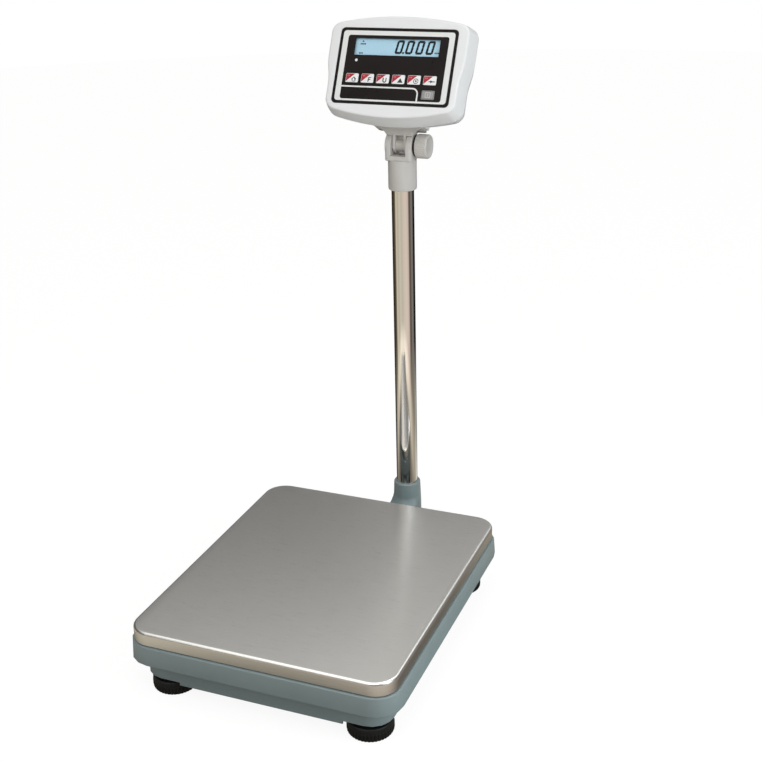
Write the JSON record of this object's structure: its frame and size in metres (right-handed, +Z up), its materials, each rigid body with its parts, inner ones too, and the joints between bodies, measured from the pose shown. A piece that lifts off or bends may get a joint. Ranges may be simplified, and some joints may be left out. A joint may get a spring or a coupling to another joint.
{
  "type": "platform scale",
  "caption": "Platform scale with a stainless pan on cast frames, a column behind it, and a tilting indicator with a display and keys.",
  "frame": {"origin": "on the floor, under the middle of the whole scale's box", "axes": "+Z up, -Y towards the person who stands on the front of the pan and reads the display, +X to that person's right"},
  "size_m": [0.4306, 0.6849, 0.916],
  "materials": {
    "stainless": "brushed",
    "polished_tube": "polished",
    "enamel": "fine textured enamel",
    "white_plastic": "satin",
    "black_plastic": "satin",
    "rubber": "matt",
    "steel": "zinc plated",
    "aluminium": "milled",
    "panel": "printed film",
    "lens": "clear",
    "display": "backlit display",
    "board": "solder mask",
    "battery": "moulded",
    "key_print": "printed",
    "power_print": "printed",
    "level": "clear vial"
  },
  "bodies": {
    "root": {"base_casting": "enamel", "column_bracket": "enamel", "column_tube": "polished_tube", "tilt_yoke": "white_plastic", "clamp_bolt": "steel", "load_cell": "aluminium", "cell_spacer_lower": "steel", "cell_bolt_lower_1": "steel", "cell_bolt_lower_2": "steel", "spirit_level": "level", "socket_screw_1": "steel", "socket_screw_2": "steel", "bracket_bolt_1": "steel", "bracket_bolt_2": "steel", "bracket_bolt_3": "steel", "bracket_bolt_4": "steel", "overload_stop_1": "steel", "overload_stop_2": "steel", "overload_stop_3": "steel", "overload_stop_4": "steel", "lock_nut_1": "steel", "lock_nut_2": "steel", "lock_nut_3": "steel", "lock_nut_4": "steel"},
    "platform": {"top_frame": "enamel", "cell_spacer_upper": "steel", "cell_bolt_upper_1": "steel", "cell_bolt_upper_2": "steel", "pan_buffer_1": "rubber", "pan_buffer_2": "rubber", "pan_buffer_3": "rubber", "pan_buffer_4": "rubber"},
    "pan": {"pan": "stainless"},
    "head": {"front_shell": "white_plastic", "rear_shell": "white_plastic", "battery_door": "white_plastic", "tilt_knuckle": "white_plastic", "keypad_overlay": "panel", "lcd_window": "lens", "lcd_module": "display", "main_board": "board", "battery": "battery", "power_inlet": "black_plastic", "cable_gland": "black_plastic"},
    "knob": {"clamp_knob": "white_plastic"},
    "foot_1": {"foot_wheel_1": "black_plastic", "foot_stud_1": "steel"},
    "foot_2": {"foot_wheel_2": "black_plastic", "foot_stud_2": "steel"},
    "foot_3": {"foot_wheel_3": "black_plastic", "foot_stud_3": "steel"},
    "foot_4": {"foot_wheel_4": "black_plastic", "foot_stud_4": "steel"},
    "key_1": {"key_1": "key_print"},
    "key_2": {"key_2": "key_print"},
    "key_3": {"key_3": "key_print"},
    "key_4": {"key_4": "key_print"},
    "key_5": {"key_5": "key_print"},
    "key_6": {"key_6": "key_print"},
    "power_key": {"power_key": "power_print"}
  },
  "joints": [
    {"name": "platform_travel", "type": "slide", "parent": "root", "child": "platform", "axis": [0, 0, 1], "range_m": [-0.001, 0], "stiffness_N_per_m": 600000, "springref_m": 0.0002, "deforming": ["load_cell"]},
    {"name": "pan_lift", "type": "slide", "parent": "platform", "child": "pan", "axis": [0, 0, 1], "range_m": [0, 0.05]},
    {"name": "head_tilt", "type": "hinge", "parent": "root", "child": "head", "pos_m": [0, 0.285, 0.712], "axis": [-1, 0, 0], "range_deg": [-25, 35]},
    {"name": "knob_turn", "type": "hinge", "parent": "root", "child": "knob", "pos_m": [0.036, 0.285, 0.712], "axis": [1, 0, 0], "range_deg": [0, 540]},
    {"name": "foot_1_screw", "type": "slide", "parent": "root", "child": "foot_1", "axis": [0, 0, -1], "range_m": [0, 0.012]},
    {"name": "foot_2_screw", "type": "slide", "parent": "root", "child": "foot_2", "axis": [0, 0, -1], "range_m": [0, 0.012]},
    {"name": "foot_3_screw", "type": "slide", "parent": "root", "child": "foot_3", "axis": [0, 0, -1], "range_m": [0, 0.012]},
    {"name": "foot_4_screw", "type": "slide", "parent": "root", "child": "foot_4", "axis": [0, 0, -1], "range_m": [0, 0.012]},
    {"name": "key_1_press", "type": "slide", "parent": "head", "child": "key_1", "axis": [0, 0.8899, -0.4562], "range_m": [0, 0.0005], "stiffness_N_per_m": 800},
    {"name": "key_2_press", "type": "slide", "parent": "head", "child": "key_2", "axis": [0, 0.8899, -0.4562], "range_m": [0, 0.0005], "stiffness_N_per_m": 800},
    {"name": "key_3_press", "type": "slide", "parent": "head", "child": "key_3", "axis": [0, 0.8899, -0.4562], "range_m": [0, 0.0005], "stiffness_N_per_m": 800},
    {"name": "key_4_press", "type": "slide", "parent": "head", "child": "key_4", "axis": [0, 0.8899, -0.4562], "range_m": [0, 0.0005], "stiffness_N_per_m": 800},
    {"name": "key_5_press", "type": "slide", "parent": "head", "child": "key_5", "axis": [0, 0.8899, -0.4562], "range_m": [0, 0.0005], "stiffness_N_per_m": 800},
    {"name": "key_6_press", "type": "slide", "parent": "head", "child": "key_6", "axis": [0, 0.8899, -0.4562], "range_m": [0, 0.0005], "stiffness_N_per_m": 800},
    {"name": "power_key_press", "type": "slide", "parent": "head", "child": "power_key", "axis": [0, 0.8899, -0.4562], "range_m": [0, 0.0005], "stiffness_N_per_m": 800}
  ]
}
